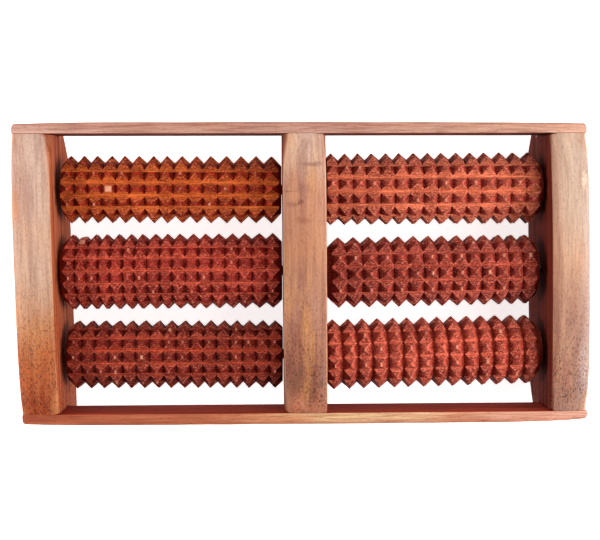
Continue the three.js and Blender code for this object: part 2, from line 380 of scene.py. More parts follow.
def make_rail(node, material):
    """A rail, thinner towards its ends, with the holes for its nails."""
    co = vertices_of(node)
    low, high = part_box(node)
    outward = 1 if low.y > 0 else -1
    outer = high.y if outward > 0 else low.y
    inner = low.y if outward > 0 else high.y
    at_outer = co[abs(co[:, 1] - outer) < TOUCH]
    at_inner = co[abs(co[:, 1] - inner) < TOUCH]
    left = (at_inner[:, 0].min(), at_outer[:, 0].min())
    right = (at_inner[:, 0].max(), at_outer[:, 0].max())
    (left_taper, left_reach), (right_taper, right_reach) = RAIL_TAPER[node]
    length = right[1] - left[1]
    sections = []
    for along in spread(0.0, length, RAIL_STATIONS):
        from_left, from_right = along, length - along
        thinner = left_taper * math.exp(-from_left / left_reach)
        thinner += right_taper * math.exp(-from_right / right_reach)
        nearest = min(from_left, from_right)
        if nearest < RAIL_CORNER:
            thinner += RAIL_CORNER - math.sqrt(RAIL_CORNER ** 2 - (RAIL_CORNER - nearest) ** 2)
        thickness = abs(outer - inner) - thinner
        section = []
        edges = [(edge, edge) for edge in (RAIL_INNER_EDGE, RAIL_EDGE, RAIL_EDGE, RAIL_INNER_EDGE)]
        for across, up in rounded_section((0, low.z), (thickness, high.z), edges, side_steps=4):
            depth = across / abs(outer - inner)
            x0 = left[0] + (left[1] - left[0]) * depth
            x1 = right[0] + (right[1] - right[0]) * depth
            x = x0 + (x1 - x0) * along / length
            hollow = abs(wander((x, across, up), RAIL_SANDING_SIZE, RAIL_SANDING, seed=outward))
            y = inner + outward * max(across - hollow * depth, 0.0)
            section.append(Vector((x, y, up - hollow * (up - low.z) / (high.z - low.z))))
        sections.append(section if outward > 0 else section[::-1])
    vertices, faces = loft(sections)
    rail = make_object(node + "_wood", vertices, faces)
    nails = [nail_skin(nail, HOLE_CLEARANCE) for nail in NAILS]
    cut_away(rail, [skin for skin in nails if overlaps(skin, low, high)])
    mark_sanding(rail.data)
    install(rail, node, FRAME_BODY, material)


# ---------------------------------------------------------------- nails and rods

NAILS = [name for name in sorted(frame["nodes"]) if name.startswith("nail_")]


def nail_skin(node, clearance=0.0):
    """A nail with a domed head, or with a clearance the hole that takes it, open to the rail's face."""
    low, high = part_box(node)
    outward = 1 if low.y > 0 else -1
    head = high.y if outward > 0 else low.y
    tip = low.y if outward > 0 else high.y
    head_radius = (high.z - low.z) / 2 + clearance
    shank = NAIL_RADIUS + clearance
    length = abs(head - tip)
    neck = NAIL_HEAD_THICKNESS + clearance
    if clearance:
        profile = [(-PAST_FACE, head_radius), (neck, head_radius), (neck, shank), (length + clearance, shank)]
    else:
        profile = [(depth, head_radius * share) for depth, share in NAIL_HEAD_FACE]
        profile += [(neck + depth, head_radius * share) for depth, share in NAIL_HEAD_BACK]
        profile += [(neck + NAIL_NECK, shank), (length - NAIL_POINT, shank), (length, NAIL_TIP_RADIUS)]
    place = Matrix.Translation(Vector(((low.x + high.x) / 2, head, (low.z + high.z) / 2)))
    place @= Matrix.Rotation(-outward * math.pi / 2, 4, "Z")
    return turned(profile, NAIL_SIDES, place)


def make_nail(node, material):
    vertices, faces = nail_skin(node)
    nail = make_object(node + "_steel", vertices, faces)
    install(nail, node, FRAME_BODY, material)


def rod_ends(name):
    """The ends of a roller's rod, as distances along its axis from the roller's middle."""
    layout = LAYOUTS[name]
    along = (vertices_of("axle_rod_" + name) - np.array(layout["centre"])) @ np.array(layout["axis"])
    return along.min(), along.max()


def make_rod(name, material):
    start, end = rod_ends(name)
    profile = [
        (start, ROD_RADIUS - ROD_CHAMFER),
        (start + ROD_CHAMFER, ROD_RADIUS),
        (end - ROD_CHAMFER, ROD_RADIUS),
        (end, ROD_RADIUS - ROD_CHAMFER),
    ]
    vertices, faces = turned(profile, ROD_SIDES, LAYOUTS[name]["place"])
    rod = make_object("axle_rod_" + name + "_steel", vertices, faces)
    install(rod, "axle_rod_" + name, FRAME_BODY, material)


# ---------------------------------------------------------------- rollers

def clusters(values, gap):
    """The middles of the groups that sorted values fall into, where groups are further apart than gap."""
    values = np.sort(values)
    splits = np.where(np.diff(values) > gap)[0] + 1
    return [float((group.min() + group.max()) / 2) for group in np.split(values, splits)]


AT_TIP = 0.985  # vertices this far out, as a share of a roller's radius, lie on its tips
AT_GROOVE = 0.97  # vertices this far from a row's middle, as a share of half a row, lie in its grooves
RING_GAP = 1.5 * MM  # the tips of two rings are further apart than this
ROW_GAP = 0.2  # and those of two rows further than this angle


def roller_layout(name):
    """Where a roller's studs are, read from its CAD solid: place, ring crests, row angles and levels."""
    joint = next(j for j in frame["joints"] if j["child"] == "roller_" + name)
    axis, centre = Vector(joint["axis"]).normalized(), Vector(joint["pos_m"])
    up = Vector((0, 0, 1))
    side = up.cross(axis)
    place = Matrix.Translation(centre) @ Matrix((axis, side, up)).transposed().to_4x4()
    local = vertices_of("roller_" + name) - np.array(centre)
    along = local @ np.array(axis)
    across, height = local @ np.array(side), local[:, 2]
    radius = np.hypot(across, height)
    angle = np.arctan2(-across, height)
    tips = radius > radius.max() * AT_TIP
    crests = clusters(along[tips], RING_GAP)
    one_ring = tips & (abs(along - crests[1]) < RING_GAP / 3)
    rows = clusters(angle[one_ring], ROW_GAP)
    count = round(2 * math.pi / np.median(np.diff(rows)))
    turn = min(rows, key=abs)
    half_row = math.pi / count
    lean = (angle - turn + half_row) % (2 * half_row) - half_row
    outer = radius > 2 * BORE_RADIUS
    height_over_flat = radius * np.cos(lean)
    groove_floor = height_over_flat[outer & (abs(lean) > AT_GROOVE * half_row)].max()
    ring_floor = height_over_flat[outer & (along > crests[0]) & (along < crests[-1])].min()
    return {
        "place": place,
        "centre": centre,
        "axis": axis,
        "crests": crests,
        "ends": (along.min(), along.max()),
        "rows": count,
        "turn": turn,
        "top": height_over_flat[one_ring].max(),
        "tip": abs(radius[one_ring] * np.sin(lean[one_ring])).max(),
        "ring_floor": ring_floor,
        "groove_floor": groove_floor,
    }


STUD_LEVELS = (0.34, 0.7)  # shares of a stud's height where its faces are divided
SIDE_STEPS = 2  # pieces that each side of a stud is divided into
SIDES = 4
TIP_WEAR = 0.025  # the usual share of a stud's height worn off its tip
TIP_WEAR_SPREAD = (0.3, 1.7)
LEAST_WEAR = 0.012
WORN_BAND = 0.08  # share of a stud's height below its tip that is rubbed pale
BROKEN = 0.2  # more wear than this is a break, and pale
CHIP_CHANCE = 0.03
CHIP_SIZES = (0.05, 0.14)
RUBBED_ROLLERS = ("right_middle", "right_front")
RUBBED = 0.3  # how steeply the wear rises there, from the roller's middle to its right end
BROKEN_STUDS = {  # by roller, ring and row
    ("left_back", 3, 0): 0.36,
    ("left_middle", 1, 11): 0.3,
    ("left_middle", 1, 12): 0.5,
    ("left_middle", 1, 13): 0.3,
}
CUT_DEPTH_WANDER = 0.16 * MM
CUT_LINE_WANDER = 0.22 * MM
FACET_WANDER = 0.1 * MM
LINE_SEED = 7  # keeps the wander of the cuts' lines apart from that of their depths
CUT_DEPTH_WANDER_SIZE = 6 * MM
CUT_LINE_WANDER_SIZE = 9 * MM
FACET_WANDER_SIZE = 2.4 * MM
CROWN = 0.12 * MM  # how far a worn tip bulges
LEAST_SLOPE = 0.2 * MM  # a turned end lower than this is not made
END_RIM = 1.6  # the inner loop on a roller's end, as a share of the bore's radius
END_RIM_STEPS = (0.45, 1.0)
END_TONE = 0.5
ROLLER_SHARP_ANGLE = 22
PLAIN = (0.0, 0.0, 0.0)
AT_FOOT = 0.5  # the depth that is marked at a stud's foot, between 0 at its tip and 1 in a lengthwise groove


class RollerBuilder:
    """Builds the studded skin of one roller in its own axes: X along the rod, Z up at rest."""

    def __init__(self, name, layout, wear):
        self.layout = layout
        self.wear = wear
        self.random = random.Random("studs of " + name)
        self.seed = self.random.uniform(0, 50)
        self.vertices = []
        self.faces = []
        self.marks = []  # for each vertex: depth, crease between facets, worn tip
        self.stud_tone = []  # for each face
        self.shared = {}
        self.rows = layout["rows"]
        self.half_row = math.pi / self.rows
        self.top = layout["top"]
        self.ring_floor = layout["ring_floor"]
        self.groove_floor = layout["groove_floor"]
        self.deep_grooves = self.groove_floor < self.ring_floor
        self.foot_height = max(self.ring_floor, self.groove_floor)
        self.rise = self.top - self.foot_height

    def point(self, x, row, aside, height):
        """A point over the flat of a row: aside is measured round the roller, towards the front."""
        angle = self.layout["turn"] + 2 * self.half_row * row
        outward = Vector((0, -math.sin(angle), math.cos(angle)))
        around = Vector((0, -math.cos(angle), -math.sin(angle)))
        return Vector((x, 0, 0)) + outward * height + around * aside

    def add(self, position, marks=PLAIN):
        self.vertices.append(position)
        self.marks.append(marks)
        return len(self.vertices) - 1

    def shared_vertex(self, key, x, row, aside, height, marks):
        """A vertex low in the cuts, made once for all the studs that meet there."""
        if key not in self.shared:
            position = self.point(x, row, aside, height)
            depth = 1 + wander(position, CUT_DEPTH_WANDER_SIZE, CUT_DEPTH_WANDER, self.seed) / height
            shift = wander(position, CUT_LINE_WANDER_SIZE, CUT_LINE_WANDER, self.seed + LINE_SEED)
            self.shared[key] = self.add(Vector((x + shift, position.y * depth, position.z * depth)), marks)
        return self.shared[key]

    def span(self, ring, height):
        """Where a ring's studs begin and end along the roller at a height."""
        crests, (first, last) = self.layout["crests"], self.layout["ends"]
        half_pitch = (crests[-1] - crests[0]) / (len(crests) - 1) / 2
        ahead = (crests[ring] - crests[ring - 1]) / 2 if ring else half_pitch
        behind = (crests[ring + 1] - crests[ring]) / 2 if ring < len(crests) - 1 else half_pitch
        share = (self.top - height) / (self.top - self.ring_floor)
        return max(crests[ring] - ahead * share, first), min(crests[ring] + behind * share, last)

    def aside(self, height):
        """How far the studs of a row have spread to each side at a height."""
        share = (self.top - height) / (self.top - self.groove_floor)
        tip = self.layout["tip"]
        return tip + (self.groove_floor * math.tan(self.half_row) - tip) * share

    def loop(self, ring, height, aside):
        """The places round a stud as (along step, around step, x, aside), from its first back corner."""
        x0, x1 = self.span(ring, height)
        corners = [(0, 0), (1, 0), (1, 1), (0, 1)]
        places = []
        for side in range(SIDES):
            (a0, b0), (a1, b1) = corners[side], corners[(side + 1) % SIDES]
            for step in range(SIDE_STEPS):
                along = a0 * SIDE_STEPS + (a1 - a0) * step
                around = b0 * SIDE_STEPS + (b1 - b0) * step
                x = x0 + (x1 - x0) * along / SIDE_STEPS
                places.append((along, around, x, aside * (2 * around / SIDE_STEPS - 1)))
        return places

    def lowest(self, ring, row):
        """The loop at the bottom of the deeper cuts round a stud, shared along and across the rows."""
        height = min(self.ring_floor, self.groove_floor)
        aside = height * math.tan(self.half_row)
        cut_height = self.ring_floor if self.deep_grooves else height
        stations = [x for _, _, x, _ in self.loop(ring, cut_height, 0)]
        loop = []
        for x, (along, around, _, s) in zip(stations, self.loop(ring, height, aside)):
            place = (ring * SIDE_STEPS + along, (row * SIDE_STEPS + around) % (self.rows * SIDE_STEPS))
            depth = 1.0 if self.deep_grooves and around in (0, SIDE_STEPS) else AT_FOOT
            loop.append(self.shared_vertex(("low", *place), x, row, s, height, (depth, 0.0, 0.0)))
        return loop

    def foot(self, ring, row):
        """The loop a stud stands on, and the faces from there down into the deeper cuts."""
        aside = self.aside(self.foot_height)
        loop = []
        for along, around, x, s in self.loop(ring, self.foot_height, aside):
            if self.deep_grooves:
                key = ("foot", ring * SIDE_STEPS + along, row, around)
            else:
                key = ("foot", ring, along, (row * SIDE_STEPS + around) % (self.rows * SIDE_STEPS))
            beside_groove = around in (0, SIDE_STEPS)
            depth = 1.0 if beside_groove and not self.deep_grooves else AT_FOOT
            corner = 1.0 if beside_groove and along in (0, SIDE_STEPS) else 0.0
            loop.append(self.shared_vertex(key, x, row, s, self.foot_height, (depth, corner, 0.0)))
        return loop

    def cuts_below(self, ring, row, foot, tone):
        """The faces from the foot of a stud down to the bottom of the deeper cuts, on two of its sides."""
        lowest = self.lowest(ring, row)
        for i in range(SIDES * SIDE_STEPS):
            lengthwise = i // SIDE_STEPS % 2 == 0
            if lengthwise == self.deep_grooves:
                j = (i + 1) % (SIDES * SIDE_STEPS)
                self.face((lowest[i], lowest[j], foot[j], foot[i]), tone)

    def level(self, ring, row, share, top_share, paleness):
        """The loop of vertices round a stud at a share of its height."""
        height = self.foot_height + self.rise * share
        worn = paleness * min(max(0.0, (share - top_share + WORN_BAND) / WORN_BAND), 1.0)
        first, last = self.layout["ends"]
        loop = []
        for along, around, x, s in self.loop(ring, height, self.aside(height)):
            corner = around in (0, SIDE_STEPS) and along in (0, SIDE_STEPS)
            position = self.point(x, row, s, height)
            seeds = [self.seed + i for i in (1, 2, 3)]
            offset = Vector([wander(position, FACET_WANDER_SIZE, FACET_WANDER, seed) for seed in seeds])
            if x <= first + TOUCH or x >= last - TOUCH:
                offset.x = 0.0
            loop.append(self.add(position + offset, (AT_FOOT * (1 - share), 1.0 if corner else 0.0, worn)))
        return loop

    def stud(self, ring, row):
        """A stud from the cuts round it up to its worn tip."""
        usual = TIP_WEAR * self.random.uniform(*TIP_WEAR_SPREAD)
        extra = self.wear(ring, row, self.random)
        top_share = 1 - max(LEAST_WEAR, usual + extra)
        tone = self.random.random()
        paleness = 1.0 if extra > BROKEN else self.random.random() ** 2
        foot = self.foot(ring, row)
        self.cuts_below(ring, row, foot, tone)
        shares = [share for share in STUD_LEVELS if share < top_share - WORN_BAND / 2] + [top_share]
        loops = [foot] + [self.level(ring, row, share, top_share, paleness) for share in shares]
        for lower, upper in zip(loops, loops[1:]):
            for i in range(len(lower)):
                j = (i + 1) % len(lower)
                self.face((lower[i], lower[j], upper[j], upper[i]), tone)
        crown = loops[-1]
        middle = sum((self.vertices[i] for i in crown), Vector()) / len(crown)
        centre = self.add(middle + Vector((0, middle.y, middle.z)).normalized() * CROWN, (0.0, 0.0, paleness))
        for side in range(SIDES):
            i = side * SIDE_STEPS
            self.face((crown[i - 1], crown[i], crown[i + 1], centre), tone)

    def face(self, corners, tone):
        self.faces.append(corners)
        self.stud_tone.append(tone)

    def rim(self, last):
        """The foot of the outer studs all round one end of the roller."""
        station = len(self.layout["crests"]) * SIDE_STEPS if last else 0
        rim = []
        for row in range(self.rows):
            if self.deep_grooves:
                rim.append(self.shared[("low", station, row * SIDE_STEPS)])
                rim += [self.shared[("foot", station, row, around)] for around in range(SIDE_STEPS + 1)]
            else:
                start = row * SIDE_STEPS
                rim += [self.shared[("low", station, start + around)] for around in range(SIDE_STEPS)]
        return rim

    def end(self, last):
        """From the foot of the outer studs down to the bore: the turned slope, then the flat end."""
        crests, x_end = self.layout["crests"], self.layout["ends"][1 if last else 0]
        x_foot = self.span(len(crests) - 1 if last else 0, self.ring_floor)[1 if last else 0]
        pitch = (crests[-1] - crests[0]) / (len(crests) - 1)
        drop = 2 * (self.top - self.ring_floor) / pitch * abs(x_end - x_foot)
        outer = self.rim(last)
        slope_end = (self.ring_floor - drop) / self.ring_floor
        scales = [slope_end] if drop > LEAST_SLOPE else []
        near_bore = END_RIM * BORE_RADIUS / self.ring_floor
        scales += [slope_end * (1 - share) + near_bore * share for share in END_RIM_STEPS]
        loop = outer
        for scale in scales:
            places = [self.vertices[i] for i in outer]
            inner = [self.add(Vector((x_end, place.y * scale, place.z * scale))) for place in places]
            self.bridge(loop, inner, last)
            loop = inner
        bore = [self.add(self.on_bore(self.vertices[i], x_end)) for i in outer]
        self.bridge(loop, bore, last)
        return bore

    def on_bore(self, place, x):
        """The point of the bore's edge that faces a place on the skin."""
        across = Vector((0, place.y, place.z)).normalized() * BORE_RADIUS
        return Vector((x, across.y, across.z))

    def bridge(self, outer, inner, last):
        """A band of faces between two loops of an end, or between the two ends of the bore."""
        count = len(outer)
        for i in range(count):
            j = (i + 1) % count
            corners = (outer[i], outer[j], inner[j], inner[i])
            self.face(corners if last else corners[::-1], END_TONE)

    def build(self, name):
        for ring in range(len(self.layout["crests"])):
            for row in range(self.rows):
                self.stud(ring, row)
        near, far = self.end(False), self.end(True)
        self.bridge(far, near, True)
        place = self.layout["place"]
        roller = make_object(name, [place @ v for v in self.vertices], self.faces, ROLLER_SHARP_ANGLE)
        self.write_marks(roller.data)
        return roller

    def write_marks(self, mesh):
        marks = mesh.attributes.new("marks", "FLOAT_COLOR", "POINT")
        marks.data.foreach_set("color", [c for mark in self.marks for c in (*mark, 1.0)])
        axis = np.array(self.layout["axis"])
        ends = [abs(float(np.array(face.normal) @ axis)) for face in mesh.polygons]
        end_grain = mesh.attributes.new("end_grain", "FLOAT", "FACE")
        end_grain.data.foreach_set("value", ends)
        tone = mesh.attributes.new("stud_tone", "FLOAT", "FACE")
        tone.data.foreach_set("value", self.stud_tone)


def wear_of(name):
    """How much more than usual a stud is worn, by roller: some were chipped or rubbed round on one part."""
    def wear(ring, row, draw):
        rings = len(LAYOUTS[name]["crests"])
        rubbed = 0.0
        if name in RUBBED_ROLLERS:
            rubbed = RUBBED * max(0.0, ring / (rings - 1) - 0.5)
        chipped = draw.uniform(*CHIP_SIZES) if draw.random() < CHIP_CHANCE else 0.0
        return rubbed + chipped + BROKEN_STUDS.get((name, ring, row), 0.0)
    return wear


def make_roller(name, material):
    builder = RollerBuilder(name, LAYOUTS[name], wear_of(name))
    roller = builder.build("roller_" + name + "_wood")
    install(roller, "roller_" + name, "roller_" + name, material)


# ---------------------------------------------------------------- materials

class Shader:
    """A material's nodes, added by calls that return the output they make."""

    def __init__(self, name):
        self.material = bpy.data.materials.new(name)
        self.material.use_nodes = True
        self.nodes = self.material.node_tree.nodes
        self.links = self.material.node_tree.links
        self.surface = self.nodes["Principled BSDF"]
        self.place = self.nodes.new("ShaderNodeTexCoord").outputs["Object"]

    def put(self, socket, value):
        if isinstance(value, bpy.types.NodeSocket):
            self.links.new(value, socket)
        elif hasattr(value, "__len__") and len(value) == 3 and socket.type == "RGBA":
            socket.default_value = (*value, 1.0)
        else:
            socket.default_value = value

    def noise(self, vector, scale, detail=3.0, roughness=0.55, distortion=0.0):
        node = self.nodes.new("ShaderNodeTexNoise")
        self.put(node.inputs["Vector"], vector)
        self.put(node.inputs["Scale"], scale)
        self.put(node.inputs["Detail"], detail)
        self.put(node.inputs["Roughness"], roughness)
        self.put(node.inputs["Distortion"], distortion)
        return node.outputs["Fac"]

    def streaks(self, scale, offset=(0, 0, 0), lean=0.0, detail=3.0, roughness=0.55, distortion=0.0):
        """Noise at a scale along each axis, so that it runs with the grain, and leaning by some degrees."""
        node = self.nodes.new("ShaderNodeMapping")
        self.put(node.inputs["Vector"], self.place)
        self.put(node.inputs["Scale"], scale)
        self.put(node.inputs["Location"], offset)
        self.put(node.inputs["Rotation"], (0.0, 0.0, math.radians(lean)))
        return self.noise(node.outputs["Vector"], 1.0, detail, roughness, distortion)

    def axis(self, vector, index):
        node = self.nodes.new("ShaderNodeSeparateXYZ")
        self.put(node.inputs[0], vector)
        return node.outputs[index]

    def mark(self, name):
        node = self.nodes.new("ShaderNodeAttribute")
        node.attribute_name = name
        return node

    def channels(self, name):
        """The three parts of a mark that is kept as a colour."""
        node = self.nodes.new("ShaderNodeSeparateColor")
        self.put(node.inputs[0], self.mark(name).outputs["Color"])
        return node.outputs

    def spot(self, centre, size, share):
        """A soft ragged spot in the wood round a centre, with a size along each axis: share at its middle."""
        node = self.nodes.new("ShaderNodeMapping")
        node.vector_type = "TEXTURE"
        self.put(node.inputs["Vector"], self.place)
        self.put(node.inputs["Location"], centre)
        self.put(node.inputs["Scale"], size)
        far = self.nodes.new("ShaderNodeVectorMath")
        far.operation = "LENGTH"
        self.put(far.inputs[0], node.outputs["Vector"])
        ragged = self.noise(self.place, 700.0, detail=3)
        reach = self.math("ADD", far.outputs["Value"], self.range(ragged, 0.3, 0.7, -0.35, 0.35))
        return self.range(reach, 0.3, 1.1, share, 0.0)

    def range(self, value, low, high, to_low=0.0, to_high=1.0):
        node = self.nodes.new("ShaderNodeMapRange")
        self.put(node.inputs["Value"], value)
        self.put(node.inputs["From Min"], low)
        self.put(node.inputs["From Max"], high)
        self.put(node.inputs["To Min"], to_low)
        self.put(node.inputs["To Max"], to_high)
        return node.outputs["Result"]

    def math(self, operation, a, b=0.0):
        node = self.nodes.new("ShaderNodeMath")
        node.operation = operation
        self.put(node.inputs[0], a)
        self.put(node.inputs[1], b)
        return node.outputs[0]

    def ramp(self, value, stops):
        node = self.nodes.new("ShaderNodeValToRGB")
        self.put(node.inputs["Fac"], value)
        elements = node.color_ramp.elements
        while len(elements) < len(stops):
            elements.new(0.5)
        for element, (position, colour) in zip(elements, stops):
            element.position = position
            element.color = (*colour, 1.0)
        return node.outputs["Color"]

    def mix(self, share, a, b, blend="MIX"):
        node = self.nodes.new("ShaderNodeMix")
        node.data_type = "RGBA"
        node.blend_type = blend
        self.put(node.inputs[0], share)
        self.put(node.inputs[6], a)
        self.put(node.inputs[7], b)
        return node.outputs[2]

    def layer(self, under, value, low, high, share, colour, blend="MIX"):
        """A colour laid over another: none of it where a value is low, and this share of it where high."""
        return self.mix(self.range(value, low, high, 0.0, share), under, colour, blend)

    def bump(self, height, strength, distance):
        node = self.nodes.new("ShaderNodeBump")
        self.put(node.inputs["Height"], height)
        self.put(node.inputs["Strength"], strength)
        self.put(node.inputs["Distance"], distance)
        self.put(self.surface.inputs["Normal"], node.outputs["Normal"])

    def finish(self, colour, roughness, metallic=0.0, specular=0.5):
        self.put(self.surface.inputs["Base Color"], colour)
        self.put(self.surface.inputs["Roughness"], roughness)
        self.put(self.surface.inputs["Metallic"], metallic)
        self.put(self.surface.inputs["Specular IOR Level"], specular)
        return self.material


def tint(r, g, b):
    """A colour given in 0-255 display values, as the linear values that shaders use."""
    shown = (r / 255, g / 255, b / 255)
    return tuple(c / 12.92 if c <= 0.04045 else ((c + 0.055) / 1.055) ** 2.4 for c in shown)


SIDE_TO_TOP = (0.35, 0.8)  # the upward share of a surface where the look of the sides gives way to the top's
SIDE_ROUGHNESS, TOP_ROUGHNESS = 0.8, 0.55
SIDE_SPECULAR, TOP_SPECULAR = 0.05, 0.3
GRAIN_SHADE = tint(176, 118, 92)
BOARD_DRIFT = 9 * MM  # how far along the wood its colours stray
RAIL_DRIFT = 14 * MM
RAIL_END_LOOK = (4 * MM, 2 * MM)  # how far from a rail's ends their look begins, and where it is full
OUTSIDE_SHARE = 0.8  # how much of the outer faces' own colour covers the stained sides' one


def waxed(shader, colour, edge_colour, sanding, drift):
    """The finish of sawn wood: edges rubbed unevenly, and a wax that shines a little more on top."""
    rubbed = shader.math("MULTIPLY", sanding[1], shader.range(drift, 0.35, 0.6, 0.3, 1.0))
    colour = shader.layer(colour, rubbed, 0.35, 0.95, 0.4, edge_colour)
    roughness = shader.range(sanding[0], *SIDE_TO_TOP, SIDE_ROUGHNESS, TOP_ROUGHNESS)
    specular = shader.range(sanding[0], *SIDE_TO_TOP, SIDE_SPECULAR, TOP_SPECULAR)
    return shader.finish(colour, roughness, specular=specular)


def board_material(board, seed):
    """Waxed board: its sanded top drifts in colour from end to end, over grain lines, bands and pores."""
    look = BOARD_LOOKS[board]
    shader = Shader(board + "_wood")
    lines = board_lines(board)
    left, right = board_sides(lines, 0.0)
    drift = shader.streaks((70, 20, 70), (seed, 0, 0), 2 * look["lean"], detail=2)
    strayed = shader.range(drift, 0.3, 0.7, -BOARD_DRIFT, BOARD_DRIFT)
    along = shader.math("ADD", shader.axis(shader.place, 1), strayed)
    top = shader.ramp(shader.range(along, *lines["ends"]), look["along"])
    across = shader.range(shader.axis(shader.place, 0), left, right)
    top = shader.layer(top, across, 0.35, 0.0, *look["left"])
    top = shader.layer(top, across, 0.65, 1.0, *look["right"])
    bands = shader.streaks((260, 15, 120), (0, seed, 0), look["lean"], detail=3, distortion=0.7)
    top = shader.layer(top, bands, 0.47, 0.66, 0.6, look["band"], "MULTIPLY")
    amber = shader.streaks((150, 24, 60), (seed, seed, 0), 2 * look["lean"], detail=2)
    top = shader.layer(top, amber, 0.5, 0.68, *look["amber"])
    for (x, y), (width, length), share, colour in look["marks"]:
        spot = shader.spot((x * MM, y * MM, 0), (width * MM, length * MM, 1), share)
        top = shader.mix(spot, top, colour)
    side = shader.ramp(shader.streaks((90, 7, 330), (0, 0, seed), detail=3), look["side"])
    if look["outside"]:
        outermost, outer_colour = look["outside"]
        side = shader.layer(side, across, 0.5, outermost, OUTSIDE_SHARE, outer_colour)
    sanding = shader.channels("sanding")
    # Pale tops over dark sides by how far a face looks up: partly sanding and stain, partly painted sheen and
    # shade.
    colour = shader.mix(shader.range(sanding[0], *SIDE_TO_TOP), side, top)
    grain = shader.streaks((900, 45, 700), (0, seed, 0), look["lean"] / 2, detail=4, distortion=0.5)
    colour = shader.layer(colour, grain, 0.42, 0.66, 0.28, GRAIN_SHADE, "MULTIPLY")
    pores = shader.streaks((1700, 700, 1700), (seed, seed, 0), detail=2)
    coarse = shader.ramp(shader.range(along, *lines["ends"]), [(0.1, (1, 1, 1)), (0.5, (0.25,) * 3)])
    dark_pores = shader.math("MULTIPLY", shader.range(pores, 0.52, 0.64, 0.0, 1.0), coarse)
    colour = shader.mix(dark_pores, colour, tint(160, 104, 84), "MULTIPLY")
    pale_pores = shader.math("MULTIPLY", shader.range(pores, 0.46, 0.34, 0.0, 0.6), coarse)
    colour = shader.mix(pale_pores, colour, tint(240, 186, 146), "SOFT_LIGHT")
    shader.bump(shader.math("ADD", grain, pores), 0.3, 0.1 * MM)
    return waxed(shader, colour, look["edge"], sanding, drift)


def rail_material(rail):
    """Waxed rail: slanting figure on its top, ruddier towards the outer edge, and dark sides: partly stain,
    partly painted sheen and shade.
    """
    look = RAIL_LOOKS[rail]
    shader = Shader(rail + "_wood")
    low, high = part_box(rail)
    inner, outer = (low.y, high.y) if low.y > 0 else (high.y, low.y)
    drift = shader.streaks((30, 200, 60), detail=2)
    strayed = shader.range(drift, 0.3, 0.7, -RAIL_DRIFT, RAIL_DRIFT)
    along = shader.math("ADD", shader.axis(shader.place, 0), strayed)
    top = shader.ramp(shader.range(along, low.x, high.x), look["along"])
    across = shader.range(shader.axis(shader.place, 1), inner, outer)
    top = shader.layer(top, across, 0.5, 1.0, 0.8, look["outer"])
    figure = shader.streaks((55, 700, 420), lean=look["lean"], detail=4, distortion=0.9)
    top = shader.layer(top, figure, 0.46, 0.68, 0.6, look["band"], "MULTIPLY")
    side = shader.ramp(shader.streaks((9, 90, 330), detail=3), look["side"])
    from_middle = shader.math("ABSOLUTE", shader.axis(shader.place, 0))
    begins, full = [high.x - inset for inset in RAIL_END_LOOK]
    at_ends = shader.range(from_middle, begins, full, 0.0, OUTSIDE_SHARE)
    outside = shader.math("MAXIMUM", shader.range(across, 0.5, 1.0, 0.0, OUTSIDE_SHARE), at_ends)
    side = shader.mix(outside, side, look["outside"])
    sanding = shader.channels("sanding")
    # Pale top over dark sides by how far a face looks up: partly sanding and stain, partly painted sheen and
    # shade.
    colour = shader.mix(shader.range(sanding[0], *SIDE_TO_TOP), side, top)
    grain = shader.streaks((60, 1500, 1100), lean=look["lean"] / 2, detail=4, distortion=0.5)
    colour = shader.layer(colour, grain, 0.42, 0.66, 0.5, GRAIN_SHADE, "MULTIPLY")
    fine = shader.streaks((420, 2200, 2200), detail=2)
    colour = shader.layer(colour, fine, 0.56, 0.7, 0.45, tint(160, 100, 78), "MULTIPLY")
    shader.bump(shader.math("ADD", grain, fine), 0.3, 0.1 * MM)
    return waxed(shader, colour, look["edge"], sanding, drift)


